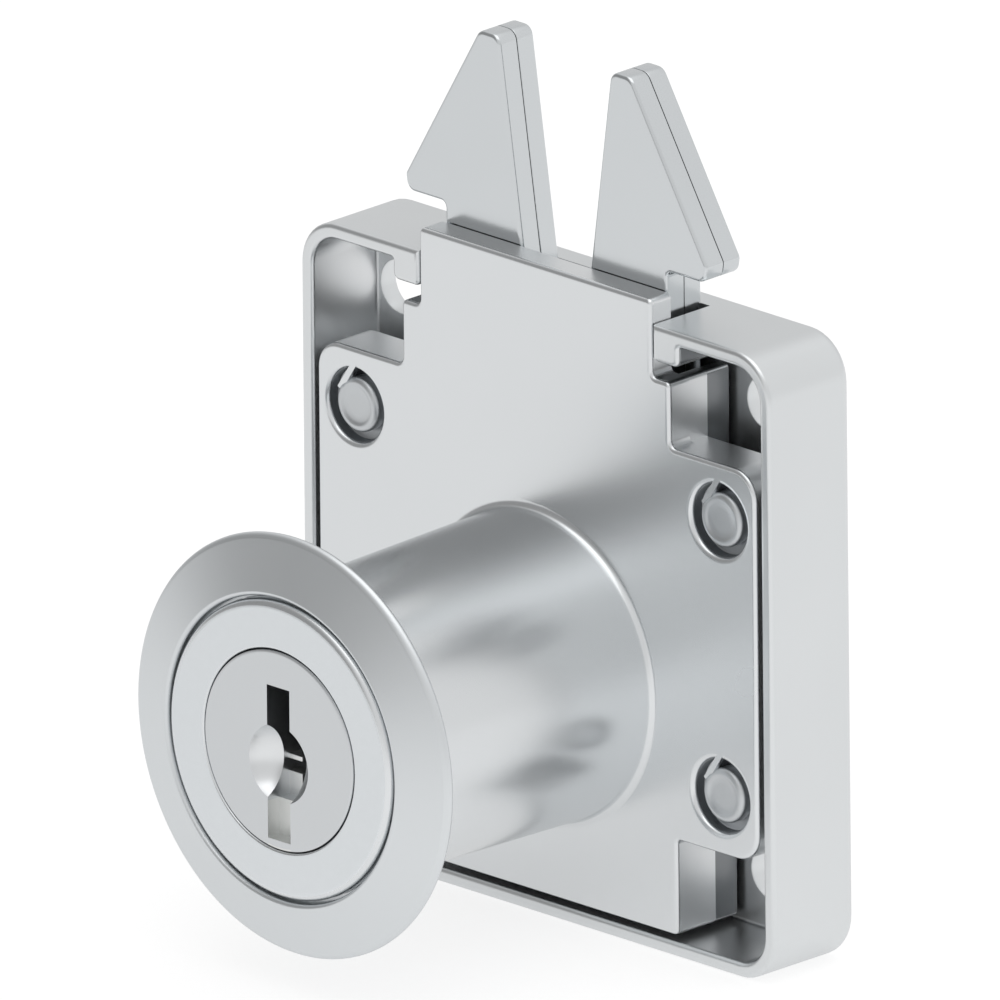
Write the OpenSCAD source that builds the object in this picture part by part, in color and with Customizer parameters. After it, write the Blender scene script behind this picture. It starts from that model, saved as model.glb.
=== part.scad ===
// Drawer lock with a fixed barrel and two hooked claws that spread to lock.
// Frame: X to the right, +Y into the drawer, Z up. The origin lies on the
// barrel's axis, in the plane of the case rim that seats on the drawer front.

/* [Case] */
// Width of the case
case_w = 40; // [37:0.5:46]
// Height of the case
case_h = 40; // [38:0.5:46]
// Depth of the case from its front rim to its back
case_d = 7; // [6.6:0.1:9]
// Height of the barrel's axis above the lower edge of the case
axis_h = 16; // [14.5:0.5:18]
// Thickness of the case's side walls
wall_t = 0.95; // [0.8:0.05:1.3]
// Thickness of the case floor
floor_t = 1.4; // [1:0.1:1.8]
// Outer radius of the case's corners
corner_r = 3; // [2:0.25:4]
// Rounding of the case's back edge
back_round = 0.7; // [0.3:0.1:1]
// Rounding of the case's front rim
rim_round = 0.3; // [0.1:0.05:0.4]
// Rounding between the case's walls and its floor, inside
floor_round = 0.6; // [0.3:0.1:0.6]
// Diameter of the fixing screw holes
screw_d = 3.4; // [3:0.1:3.6]
// Width between the fixing holes
screw_dx = 34.4; // [33.4:0.1:34.6]
// Distance of the upper fixing holes below the case's upper edge
screw_up = 5.35; // [4.6:0.05:6]
// Distance of the lower fixing holes above the case's lower edge
screw_low = 4.6; // [4:0.1:5]
// Width of the lug on each side of the claw opening
lug_w = 2.2; // [1.5:0.1:3]
// Height of that lug below the case's upper wall
lug_h = 1.35; // [0.8:0.05:1.6]
// Length of the claw opening in the upper wall, from the front rim
gate_d = 5; // [4.9:0.1:5.4]

/* [Front casting] */
// Thickness of the front plate
plate_t = 1.75; // [1.5:0.05:1.9]
// Gap between the front plate and the inside of the case
plate_gap = 0.4; // [0.3:0.05:0.6]
// Width of the neck that passes through the case's upper wall
neck_w = 19.74; // [18.5:0.1:20.5]
// Height of the neck above the case
neck_rise = 1.56; // [1:0.05:2.5]
// Distance of the neck's foot below the case's upper edge
neck_foot = 3.4; // [3:0.1:4]
// Step from the side of the neck out to the side of the waist below it
waist_step = 1.51; // [1.2:0.05:1.8]
// Distance of the shoulders below the case's upper edge
shoulder_drop = 7.55; // [7:0.1:8]
// Step from the side of the waist out to the side of the plate's tail
tail_step = 0.32; // [0.2:0.02:0.6]
// Height of the lower shoulders above the case's lower edge
low_shoulder = 7.5; // [7:0.1:8]
// Radius of the plate's broad corners
plate_r = 1.8; // [1:0.1:2.4]
// Depth of the casting's middle block, from the front plane
skirt_d = 5.2; // [5:0.05:5.3]
// Depth of the casting's wings, from the front plane
wing_d = 3.3; // [2.4:0.1:4.4]
// Thickness of the skirt
skirt_t = 1.1; // [0.8:0.05:1.3]

/* [Barrel] */
// Length of the barrel from the front plane to its face
barrel_l = 22.2; // [18.6:0.2:32]
// Diameter of the collar at the barrel's face, which carries the rosette
collar_d = 18.86; // [18.8:0.02:19]
// Length of that collar
collar_l = 2; // [1.7:0.1:4]
// Diameter of the barrel behind the collar
barrel_d = 18.6; // [18.2:0.1:18.8]
// Diameter of the barrel at its foot
barrel_foot_d = 19.5; // [19.2:0.1:20.4]
// Rounding of the barrel's face edge
face_round = 0.45; // [0.2:0.05:0.6]
// Radius of the fillet at the barrel's foot
foot_fillet = 0.5; // [0.2:0.05:0.6]
// Thickness of the web between the plug and the claws
web_t = 3; // [2.6:0.1:4]

/* [Rosette] */
// Outer diameter of the rosette
rosette_d = 26.6; // [25:0.2:32]
// Thickness of the rosette at its bore
rosette_t = 1.6; // [1.4:0.05:1.9]
// Thickness of the rosette at its rim
rosette_rim = 0.45; // [0.35:0.05:0.7]
// Chamfer round the rosette's bore
rosette_chamfer = 0.35; // [0.1:0.05:0.5]

/* [Plug] */
// Diameter of the plug
plug_d = 12.7; // [12.4:0.1:13.2]
// Diameter of the plug's journal in the web
journal_d = 8.4; // [8:0.1:9]
// Width across the flats of the plug's drive tail
drive_w = 5; // [4.5:0.1:5.4]
// Width of the keyway
key_w = 1.92; // [1.6:0.02:2.2]
// Height of the keyway
key_h = 9.8; // [9:0.1:10.2]
// Distance of the keyway's middle below the plug's axis
key_low = 0.85; // [0.6:0.05:1]
// Radius of the round dimple in the keyway's middle
dimple_r = 2.5; // [2:0.05:2.8]
// Depth of the dimple
dimple_t = 1.6; // [1:0.05:1.9]
// Depth of the keyway behind the face
key_deep = 18.6; // [15:0.1:19]
// Height of the shallow part at the keyway's lower end
key_foot = 2.35; // [1.8:0.05:2.4]
// Depth of that part
key_foot_t = 1; // [0.6:0.1:1.6]
// Angle of the stop lug on the plug's shoulder
stop_a = 30; // [20:1:45]
// Height of the stop lug
stop_t = 0.8; // [0.5:0.05:1]
// Radial width of the stop lug
stop_w = 1; // [0.7:0.05:1.1]

/* [Wafers] */
// Number of wafers
wafer_n = 5; // [3:1:5]
// Thickness of a wafer
wafer_t = 1; // [0.8:0.05:1.1]
// Distance between neighbouring wafers
wafer_pitch = 3; // [2.6:0.1:3.2]
// Distance of the first wafer's front from the plug's face
wafer_first = 1.9; // [1.8:0.05:2.6]
// Width of a wafer
wafer_w = 7.4; // [7:0.1:8]
// Width of a wafer's window
window_w = 3.2; // [2.8:0.1:3.6]
// Height of a wafer's window
window_h = 6.4; // [5.8:0.1:6.6]
// Distance of the first window's lower edge below the plug's axis
window_low = 1.15; // [0.9:0.05:1.6]
// Step between two neighbouring cuts of the key
cut_step = 0.5; // [0.3:0.05:0.6]
// Length of the spring beside each wafer
wafer_spring_l = 3.3; // [3:0.1:3.4]
// Outer diameter of that spring
wafer_spring_d = 0.94; // [0.8:0.02:1]
// Wire diameter of that spring
wafer_spring_wire = 0.18; // [0.12:0.02:0.22]
// Width of the wafer's bar between its window and the spring's notch
wafer_bar = 0.55; // [0.4:0.05:0.7]

/* [Claws] */
// Height of the claws' tips above the case
claw_rise = 14.5; // [13:0.5:18]
// Thickness of the pair of plates that forms one claw
claw_t = 3; // [2.8:0.05:3.05]
// Seam between the two plates of a claw
claw_seam = 0.06; // [0.04:0.01:0.1]
// Width of the flat on the claw's tip
tip_w = 1.7; // [1:0.1:2.4]
// Step from the stem's outer edge out to the barb's point
barb_out = 3.4; // [2.5:0.1:4]
// Height of the barb's lower edge above the case
barb_rise = 2.8; // [2.4:0.1:4]
// Height of the barb's blunt edge
barb_t = 1.07; // [0.9:0.01:2]
// Distance of the stem's outer edge inside the side of the neck
stem_gap = 0.42; // [0.35:0.01:0.7]
// Distance of the claw pivots from the middle
pivot_x = 7.2; // [7:0.05:7.6]
// Height of the claw pivots above the barrel's axis
pivot_z = 6; // [5.8:0.05:6.4]
// Diameter of the claw pivots
pivot_d = 2.6; // [2.2:0.1:3]
// Angle through which each claw swings
swing = 8.2; // [6:0.1:8.6]
// Gap left between the closed claws
closed_gap = 0.3; // [0.2:0.02:0.5]
// Depth of the claws' tails below the axis
tail_low = 7.2; // [6:0.1:7.4]

/* [Drive cam] */
// Distance of a claw tail's inner face from the axis while locked
cam_min = 4.65; // [4.4:0.05:4.8]
// Radius of the cam's horns
cam_horn = 5.55; // [5.5:0.01:5.7]
// Turn of the plug that closes the claws
key_turn = 90; // [80:5:90]
// Diameter of the cam screw's shank
screw_shank_d = 1.8; // [1.4:0.1:2.2]
// Length of the shank in the plug
screw_shank_l = 4; // [3:0.1:4.5]
// Diameter of the cam screw's head
head_d = 4.2; // [3.8:0.1:5]
// Thickness of the cam screw's head
head_t = 0.5; // [0.4:0.05:0.6]

/* [Rivets] */
// Diameter of the case rivets
rivet_d = 3; // [2.6:0.1:3.4]
// Distance of the case rivets from the middle
rivet_x = 15.5; // [15:0.1:15.6]
// Distance of the case rivets from the case's upper and lower edges
rivet_in = 11.2; // [11:0.1:11.6]
// Depth of the rivet heads below the front plane
rivet_sink = 0.1; // [0.05:0.05:0.3]
// Rounding of the rivet heads
rivet_round = 0.25; // [0.1:0.05:0.4]
// Diameter of the sunk ring round each rivet
ring_d = 4.7; // [4.4:0.1:5]
// Depth of that ring
ring_t = 0.6; // [0.3:0.05:0.8]
// Width and depth of the slope at the ring's outer edge
ring_lip = 0.25; // [0.1:0.05:0.35]
// Width of the bar that crosses the ring beside the rivet
ring_bar = 0.4; // [0.3:0.05:0.6]
// Angle of that bar from upright
ring_bar_a = 34; // [0:1:60]

/* [Springs] */
// Outer diameter of the spreader spring
spring_d = 2; // [1.6:0.1:2.2]
// Wire diameter of the spreader spring
spring_wire = 0.32; // [0.25:0.01:0.4]
// Turns of the spreader spring
spring_turns = 9; // [6:1:11]
// Height of the spreader spring above the axis
spring_z = 14; // [13:0.1:15.5]
// Depth of the spring's pocket in each claw
spring_pocket = 2.4; // [2:0.1:3]

/* [Clearances] */
// Radial running clearance of the plug and the pivots
run_gap = 0.05; // [0.03:0.01:0.08]
// Side clearance of the plates and the cam along Y
side_gap = 0.1; // [0.08:0.01:0.15]
// Clearance between the cam and the claw tails
cam_gap = 0.06; // [0.04:0.01:0.1]
// Clearance of fixed pieces that fit into each other
fit_gap = 0.02; // [0.01:0.01:0.04]

/* [Hidden] */
$fn = 96;

case_top = case_h - axis_h;
case_bot = -axis_h;
floor_y = case_d - floor_t;
inner_x = case_w/2 - wall_t;
gate_x = neck_w/2 + 0.1;
waist_x = neck_w/2 + waist_step;
tail_x = waist_x + tail_step;
plate_x = inner_x - plate_gap;
plate_z = case_bot + wall_t + plate_gap;
shoulder_z = case_top - shoulder_drop;
foot_z = case_top - neck_foot;
neck_z = case_top + neck_rise;
low_z = case_bot + low_shoulder;

claw_y0 = plate_t + side_gap;
claw_y1 = claw_y0 + claw_t;
ply_t = (claw_t - claw_seam)/2;
seam_y = (claw_y0 + claw_y1)/2;
pad_y = claw_y1 + side_gap;

plug_r = plug_d/2;
bore_r = plug_r + run_gap;
web_y = plate_t - web_t;
journal_r = journal_d/2;
face_y = -barrel_l;
wafer_ys = [for (i = [0:wafer_n - 1]) face_y + wafer_first + i*wafer_pitch];
wafer_top_r = plug_r - 0.05;
slot_gap = 0.05;
notch_x = window_w/2 + wafer_bar;
notch_z = 0.2 - wafer_spring_l;
groove_r = plug_r + 0.9;

stop_out = plug_r - 0.2;
stop_in = stop_out - stop_w;
shank_r = screw_shank_d/2;

// Outlines and common shapes

function unit(v) = v/norm(v);
function wrapped(d) = d > 180 ? d - 360 : d < -180 ? d + 360 : d;

// Arc that rounds the corner at p between the points a and b with radius r
function fillet(p, a, b, r, n = 6) =
    let (u = unit(a - p), v = unit(b - p), half = acos(u*v)/2,
         c = p + unit(u + v)*r/sin(half), s = p + u*r/tan(half) - c,
         e = p + v*r/tan(half) - c, a0 = atan2(s.y, s.x),
         da = wrapped(atan2(e.y, e.x) - a0))
    [for (i = [0:n]) c + r*[cos(a0 + da*i/n), sin(a0 + da*i/n)]];

// Outline through points [x, z, radius], each corner rounded by its radius
function rounded(pts) = [for (i = [0:len(pts) - 1])
    let (n = len(pts), p = [pts[i].x, pts[i].y], a = pts[(i + n - 1) % n], b = pts[(i + 1) % n])
    each (pts[i].z > 0 ? fillet(p, [a.x, a.y], [b.x, b.y], pts[i].z) : [p])];

// Slab between the planes y0 and y1 of an outline drawn in X and Z
module slab(y0, y1) {
    translate([0, y1, 0]) rotate([90, 0, 0]) linear_extrude(y1 - y0) children();
}

// Solid turned about the Y axis from a profile of radius and distance along Y
module turned(angle = 360) {
    rotate([-90, 0, 0]) rotate_extrude(angle = angle) children();
}

module rod(x, z, r, y0, y1) {
    translate([x, y1, z]) rotate([90, 0, 0]) cylinder(r = r, h = y1 - y0);
}

module cone(x, z, r0, r1, y0, y1) {
    translate([x, y0, z]) rotate([-90, 0, 0]) cylinder(r1 = r0, r2 = r1, h = y1 - y0);
}

module round_rect(w, h, r) {
    square([w - 2*r, h], center = true);
    square([w, h - 2*r], center = true);
    for (sx = [-1, 1], sz = [-1, 1])
        translate([sx*(w/2 - r), sz*(h/2 - r)]) circle(r);
}

// Block with upright corners of radius r and rounded front and back edges
module tray(w, h, d, r, front, back) {
    function side(a) = rounded([[-a, 0, front], [a, 0, front], [a, d, back], [-a, d, back]]);
    translate([0, 0, -(h/2 - r)]) linear_extrude(h - 2*r) polygon(side(w/2));
    rotate([0, 90, 0]) translate([0, 0, -(w/2 - r)]) linear_extrude(w - 2*r) polygon(side(h/2));
    for (sx = [-1, 1], sz = [-1, 1]) translate([sx*(w/2 - r), 0, sz*(h/2 - r)])
        turned() polygon(rounded([[0, 0, 0], [r, 0, front], [r, d, back], [0, d, 0]]));
}

// Whole outline from the corners of its right half, listed upwards
function both_sides(half) =
    concat(half, [for (k = [len(half) - 1:-1:0]) [-half[k].x, half[k].y, half[k].z]]);

// Outline of the front casting
plate_outline = both_sides([[tail_x, plate_z, 0.4], [tail_x, low_z, 0.3],
    [plate_x, low_z, plate_r], [plate_x, shoulder_z, plate_r], [waist_x, shoulder_z, 0.5],
    [waist_x, foot_z, 0.3], [neck_w/2, foot_z, 0.4], [neck_w/2, neck_z, 0.25]]);

// Outline of the two wings without the middle block, drawn in by i
function wings_outline(i) = both_sides([[plate_x - i, low_z + i, plate_r - i/2],
    [plate_x - i, shoulder_z - i, plate_r - i/2]]);

// Outline of the casting's middle block behind the plate, drawn in by i
function block_outline(i) = both_sides([[tail_x - i, plate_z + i, 0.4],
    [tail_x - i, low_z - i/2, 0.1], [waist_x - i, low_z - i/2, 0.1],
    [waist_x - i, foot_z, 0.3]]);

// Case

module fixing_holes() {
    for (sx = [-1, 1], z = [case_top - screw_up, case_bot + screw_low]) {
        rod(sx*screw_dx/2, z, screw_d/2, floor_y - 1, case_d + 1);
        cone(sx*screw_dx/2, z, screw_d/2, screw_d/2 + 0.25, case_d - 0.25, case_d + 0.001);
    }
}

module at_rivets() {
    for (sx = [-1, 1], z = [case_top - rivet_in, case_bot + rivet_in])
        translate([sx*rivet_x, 0, z]) children();
}

module case() {
    color("gainsboro") difference() {
        union() {
            difference() {
                translate([0, 0, (case_top + case_bot)/2])
                    tray(case_w, case_h, case_d, corner_r, rim_round, back_round);
                translate([0, -1, (case_top + case_bot)/2])
                    tray(case_w - 2*wall_t, case_h - 2*wall_t, floor_y + 1,
                         corner_r - wall_t, 0, floor_round);
            }
            // lugs beside the claw opening, down from the upper wall
            for (s = [-1, 1]) slab(rim_round, floor_y + 0.1)
                polygon(rounded([[s*(gate_x - 0.3), case_top - wall_t - lug_h, 0],
                    [s*(gate_x + lug_w), case_top - wall_t - lug_h, 0.5],
                    [s*(gate_x + lug_w), case_top - wall_t/2, 0],
                    [s*(gate_x - 0.3), case_top - wall_t/2, 0]]));
            // pads on the floor that carry the pivots and guide the claws
            for (s = [-1, 1]) rod(s*pivot_x, pivot_z, pivot_d/2 + 1.2, pad_y, floor_y + 0.1);
        }
        // claw opening in the upper wall
        translate([-gate_x, -1, case_top - wall_t - lug_h - 1])
            cube([2*gate_x, gate_d + 1, wall_t + lug_h + 2]);
        fixing_holes();
        at_rivets() {
            rod(0, 0, rivet_d/2 + fit_gap, floor_y - 1, case_d + 1);
            cone(0, 0, rivet_d/2 + fit_gap, rivet_d/2 + 0.8, case_d - 0.8, case_d + 0.001);
        }
        for (s = [-1, 1]) rod(s*pivot_x, pivot_z, pivot_d/2 + fit_gap, pad_y - 1, case_d - 0.6);
    }
}

// Front casting: plate, wings, middle block and barrel

module barrel_profile() {
    polygon(rounded([[0, face_y, 0], [collar_d/2, face_y, face_round],
        [collar_d/2, face_y + collar_l, 0], [barrel_d/2, face_y + collar_l + 0.1, 0],
        [barrel_foot_d/2, 0, foot_fillet], [barrel_foot_d/2 + foot_fillet + 0.1, 0, 0],
        [barrel_foot_d/2 + foot_fillet + 0.1, 0.2, 0], [0, 0.2, 0]]));
}

// Sunk ring round a rivet, crossed by a slanting bar that touches the rivet
module rivet_ring() {
    difference() {
        union() {
            rod(0, 0, ring_d/2, -1, ring_t);
            cone(0, 0, ring_d/2 + ring_lip, ring_d/2 - 0.001, -0.001, ring_lip);
        }
        rod(0, 0, rivet_d/2 + fit_gap, -2, ring_t + 1);
        rotate([0, ring_bar_a, 0]) translate([-rivet_d/2 - ring_bar/2, -2, 0])
            cube([ring_bar, ring_t + 3, ring_d]);
    }
}

// Walls behind the plate: the low rims of the wings and the deeper middle block,
// which is open at its top where the claws leave it
module casting_walls() {
    difference() {
        union() {
            difference() {
                slab(plate_t - 0.1, wing_d) polygon(rounded(wings_outline(0)));
                slab(plate_t - 0.2, wing_d + 1) polygon(rounded(wings_outline(skirt_t)));
            }
            slab(plate_t - 0.1, skirt_d) polygon(rounded(block_outline(0)));
        }
        slab(plate_t - 0.2, skirt_d + 1) polygon(rounded(block_outline(skirt_t)));
        translate([-waist_x + skirt_t, plate_t - 0.2, foot_z - 1])
            cube([2*(waist_x - skirt_t), skirt_d, 2]);
    }
}

module front_casting() {
    color("lightgray") difference() {
        union() {
            slab(0, plate_t) polygon(rounded(plate_outline));
            casting_walls();
            at_rivets() rod(0, 0, rivet_d/2 + 1.3, plate_t - 0.1, floor_y);
            turned() barrel_profile();
        }
        rod(0, 0, bore_r, face_y - 1, web_y);
        rod(0, 0, journal_r + run_gap, web_y - 1, plate_t + 1);
        // grooves of the bore that take the wafers when the key is drawn
        intersection() {
            rod(0, 0, groove_r, face_y + 1.2, web_y - 0.2);
            translate([-wafer_w/2 - 0.15, face_y, -groove_r])
                cube([wafer_w + 0.3, barrel_l + web_y + 0.2, 2*groove_r]);
        }
        // arc groove of the web that stops the plug's lug
        rotate([0, stop_a/2 + 1, 0]) translate([0, web_y - 0.01, 0])
            arc_band(stop_in - 0.1, stop_out + 0.1, stop_t + 0.15, key_turn + stop_a + 2);
        at_rivets() {
            rod(0, 0, rivet_d/2 + fit_gap, -1, floor_y + 1);
            rivet_ring();
        }
        for (s = [-1, 1]) rod(s*pivot_x, pivot_z, pivot_d/2 + fit_gap, plate_t - 1, plate_t + 1);
    }
}

// Part of a flat ring that starts at +X and runs anticlockwise seen from the front
module arc_band(r0, r1, t, a) {
    rotate([-90, 0, 0]) rotate([0, 0, -a]) rotate_extrude(angle = a)
        translate([r0, 0]) square([r1 - r0, t]);
}

module rosette() {
    y_front = face_y + 0.05;
    y_back = y_front + rosette_t;
    r_bore = collar_d/2 + fit_gap;
    color("silver") turned() polygon(rounded([
        [r_bore, y_front + rosette_chamfer, 0], [r_bore + rosette_chamfer, y_front, 0.1],
        [rosette_d/2, y_back - rosette_rim, 0.15], [rosette_d/2, y_back, 0.1],
        [r_bore, y_back, 0]]));
}

module case_rivets() {
    color("darkgray") at_rivets() union() {
        turned() polygon(rounded([[0, rivet_sink, 0], [rivet_d/2, rivet_sink, rivet_round],
            [rivet_d/2, case_d - 0.75, 0], [0, case_d - 0.75, 0]]));
        cone(0, 0, rivet_d/2, rivet_d/2 + 0.72, case_d - 0.76, case_d - 0.04);
    }
}

module pivot_pins() {
    color("slategray") for (s = [-1, 1])
        rod(s*pivot_x, pivot_z, pivot_d/2, plate_t - 0.95, case_d - 0.7);
}

// Plug and its wafers

module plug_profile() {
    polygon(rounded([[0, face_y, 0], [plug_r, face_y, 0.12], [plug_r, web_y - 0.06, 0],
        [journal_r, web_y - 0.06, 0], [journal_r, claw_y0 - 0.02, 0],
        [0, claw_y0 - 0.02, 0]]));
}

module keyway() {
    translate([-key_w/2, face_y - 1, -key_low - key_h/2]) {
        cube([key_w, key_foot_t + 1, key_h]);
        translate([0, 0, key_foot]) cube([key_w, key_deep + 1, key_h - key_foot]);
    }
    // round dimple in the middle of the keyway
    sr = (dimple_r*dimple_r + dimple_t*dimple_t)/(2*dimple_t);
    translate([0, face_y + dimple_t - sr, -key_low]) sphere(sr);
}

module plug() {
    color("silver") difference() {
        union() {
            turned() plug_profile();
            // square tail with turned corners that drives the cam
            intersection() {
                rod(0, 0, journal_r - 0.9, claw_y0 - 0.1, claw_y1 - 0.05);
                translate([-drive_w/2, claw_y0 - 0.1, -drive_w/2]) cube([drive_w, claw_t + 0.2, drive_w]);
            }
            // stop lug on the shoulder
            rotate([0, stop_a/2, 0]) translate([0, web_y - 0.1, 0])
                arc_band(stop_in, stop_out, stop_t + 0.1, stop_a);
        }
        keyway();
        for (y = wafer_ys)
            translate([-wafer_w/2 - slot_gap, y - slot_gap, -plug_r - 1])
                cube([wafer_w + 2*slot_gap, wafer_t + 2*slot_gap, plug_d + 2]);
        rod(0, 0, shank_r, claw_y1 - screw_shank_l - 0.4, claw_y1 + 1);
    }
}

// Height of the window's middle in each wafer, as the cuts of the key set it
function window_z(i) = window_h/2 - window_low - cut_step*[0, 2, 1, 3, 1.5][i];

module wafer(i) {
    color("goldenrod") slab(wafer_ys[i], wafer_ys[i] + wafer_t) difference() {
        intersection() {
            circle(wafer_top_r);
            square([wafer_w, plug_d], center = true);
        }
        translate([0, window_z(i)]) round_rect(window_w, window_h, 0.4);
        translate([notch_x, notch_z]) square([wafer_w, wafer_spring_l + 0.1]);
    }
}

// Coil of round wire along Z from the plane z = 0, with closed ends
module coil(l, r, wire, turns, sides = 6, steps = 12) {
    n = turns*steps;
    function way(k) = [r*cos(360*k/steps), r*sin(360*k/steps), wire/2 + (l - wire)*k/n];
    ring = [for (k = [0:n]) let (p = way(k), out = [cos(360*k/steps), sin(360*k/steps), 0])
        each [for (j = [0:sides - 1]) p + wire/2*(out*cos(360*j/sides) + [0, 0, sin(360*j/sides)])]];
    side = [for (k = [0:n - 1], j = [0:sides - 1]) let (a = k*sides, b = a + sides, m = (j + 1) % sides)
        each [[a + j, a + m, b + j], [a + m, b + m, b + j]]];
    polyhedron(ring, concat(side, [[for (j = [sides - 1:-1:0]) j]],
        [[for (j = [0:sides - 1]) n*sides + j]]));
}

module wafer_springs() {
    color("dimgray") for (y = wafer_ys)
        translate([(notch_x + wafer_w/2)/2, y + wafer_t/2, notch_z + 0.05])
            coil(wafer_spring_l, (wafer_spring_d - wafer_spring_wire)/2, wafer_spring_wire, 5, 5, 8);
}

// Cam

// Distance of a claw tail's inner face from the axis once the claw has swung by a
function tail_h(a) = cam_min + pivot_x*(cos(a) - 1) + pivot_z*sin(a);

// Lines that bound the cam, as [direction, distance], for a plug turn in steps:
// each is the face of a tail as the turning cam meets it
cam_lines = [for (k = [0:30]) let (t = key_turn*k/30, a = swing*k/30)
    each [[a - t, tail_h(a)], [180 - a - t, tail_h(a)]]];

function cam_r(f) = min([cam_horn, for (c = cam_lines) let (d = cos(f - c[0]))
    d > 0.2 ? (c[1] - cam_gap)/d : cam_horn]);

module cam() {
    color("dimgray") difference() {
        slab(claw_y0 + 0.02, claw_y1 - 0.02)
            polygon([for (f = [0:3:357]) cam_r(f)*[cos(f), sin(f)]]);
        intersection() {
            rod(0, 0, journal_r - 0.9 + fit_gap, claw_y0 - 1, claw_y1 + 1);
            translate([-drive_w/2 - fit_gap, claw_y0 - 1, -drive_w/2 - fit_gap])
                cube([drive_w + 2*fit_gap, claw_t + 2, drive_w + 2*fit_gap]);
        }
    }
}

module cam_screw() {
    color("lightslategray") difference() {
        union() {
            turned() polygon(rounded([[0, claw_y1, 0], [head_d/2, claw_y1, 0],
                [head_d/2, claw_y1 + head_t, 0.2], [0, claw_y1 + head_t, 0]]));
            rod(0, 0, shank_r - fit_gap, claw_y1 - screw_shank_l, claw_y1 + 0.1);
        }
        for (a = [0, 90]) rotate([0, a, 0]) translate([-head_d/4, claw_y1 + 0.15, -0.2])
            cube([head_d/2, 1, 0.4]);
    }
}

// Claws

// Inner edge of the right claw: upright once closed, leaning out by the swing
function edge_x(z) = let (d = pivot_x - closed_gap/2)
    pivot_x - (d - (z - pivot_z)*sin(swing))/cos(swing);

claw_top = case_top + claw_rise;
barb_z = case_top + barb_rise;
stem_x = neck_w/2 - stem_gap;
barb_x = stem_x + barb_out;
barb_top = barb_z + barb_t;
tip_x = edge_x(claw_top) + tip_w;
clear_z = cam_horn + 1.6;

// Outline of the right claw, from its tip clockwise
module claw_shape() {
    polygon(rounded([
        [edge_x(claw_top), claw_top, 0.7], [tip_x, claw_top, 0.8],
        [barb_x, barb_top, 0.45], [barb_x - 0.15, barb_z, 0.7],
        [stem_x, barb_z, 0.4], [stem_x, pivot_z + 5, 1],
        [stem_x + 0.55, pivot_z + 1.5, 1.5], [stem_x + 0.15, pivot_z - 3.5, 2],
        [cam_min + 3.8, -2, 2], [cam_min + 3.6, -tail_low, 1.2],
        [cam_min, -tail_low, 1], [cam_min, 3.2, 0.6],
        [pivot_x - 3, clear_z - 0.4, 1], [edge_x(clear_z) + 1, clear_z, 0.4],
        [edge_x(clear_z + 0.6), clear_z + 0.6, 0.3]]));
}

// Plate of the right claw between y0 and y1, with its pivot, rivets and pocket
module claw_plate(y0, y1) {
    color("lightsteelblue") difference() {
        slab(y0, y1) claw_shape();
        rod(pivot_x, pivot_z, pivot_d/2 + run_gap, y0 - 1, y1 + 1);
        for (p = claw_rivets_at) rod(p.x, p.y, 0.8 + fit_gap, y0 - 1, y1 + 1);
        translate([edge_x(spring_z) - 1, seam_y, spring_z]) rotate([0, 90, 0])
            cylinder(d = spring_d + 0.3, h = spring_pocket + 1);
    }
}

claw_rivets_at = [[pivot_x, 16.5], [cam_min + 1.9, -3.5]];

module claw_pins() {
    color("slategray") for (p = claw_rivets_at) rod(p.x, p.y, 0.8, claw_y0 + 0.01, claw_y1 - 0.01);
}

module claw_right_front() { claw_plate(claw_y0, claw_y0 + ply_t); }
module claw_right_back() { claw_plate(claw_y1 - ply_t, claw_y1); }
module claw_right_rivets() { claw_pins(); }
module claw_left_front() { mirror([1, 0, 0]) claw_right_front(); }
module claw_left_back() { mirror([1, 0, 0]) claw_right_back(); }
module claw_left_rivets() { mirror([1, 0, 0]) claw_pins(); }

module spreader_spring() {
    half = edge_x(spring_z) + spring_pocket - 0.12;
    color("dimgray") translate([-half, seam_y, spring_z]) rotate([0, 90, 0])
        coil(2*half, (spring_d - spring_wire)/2, spring_wire, spring_turns, 6, 16);
}

// The drawer lock

case();
front_casting();
rosette();
case_rivets();
pivot_pins();
plug();
wafer(0);  // wafer_1
wafer(1);  // wafer_2
wafer(2);  // wafer_3
wafer(3);  // wafer_4
wafer(4);  // wafer_5
wafer_springs();
cam();
cam_screw();
claw_left_front();
claw_left_back();
claw_left_rivets();
claw_right_front();
claw_right_back();
claw_right_rivets();
spreader_spring();
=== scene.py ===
"""A drawer lock of nickel-plated metal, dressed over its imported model.

Lengths are written in millimetres and turned to metres where a mesh is made. X runs to the
right, Y into the drawer and Z up; the origin lies on the barrel's axis in the plane of the
case rim. Every surface is a function of two parameters: a loop of points, and a profile that
says how far the loop is drawn in at each depth.
"""
import bmesh
import bpy
import numpy as np
from mathutils import Matrix, Vector
from mathutils.geometry import tessellate_polygon


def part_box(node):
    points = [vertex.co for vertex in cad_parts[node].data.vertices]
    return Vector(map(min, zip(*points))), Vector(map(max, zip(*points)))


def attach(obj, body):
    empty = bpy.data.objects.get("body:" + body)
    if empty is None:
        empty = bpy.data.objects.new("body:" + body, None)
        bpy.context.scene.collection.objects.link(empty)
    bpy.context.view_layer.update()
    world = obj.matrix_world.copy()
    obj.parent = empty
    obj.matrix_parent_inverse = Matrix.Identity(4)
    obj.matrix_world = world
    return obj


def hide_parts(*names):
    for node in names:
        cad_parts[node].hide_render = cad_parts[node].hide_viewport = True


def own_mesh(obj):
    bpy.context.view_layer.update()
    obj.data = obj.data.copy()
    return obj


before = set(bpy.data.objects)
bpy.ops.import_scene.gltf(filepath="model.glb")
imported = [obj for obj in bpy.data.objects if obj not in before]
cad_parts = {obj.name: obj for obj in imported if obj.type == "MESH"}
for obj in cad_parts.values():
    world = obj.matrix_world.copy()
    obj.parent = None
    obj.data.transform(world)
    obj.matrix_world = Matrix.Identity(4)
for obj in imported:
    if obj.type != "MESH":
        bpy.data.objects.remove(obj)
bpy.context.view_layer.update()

MM = 0.001
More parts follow.
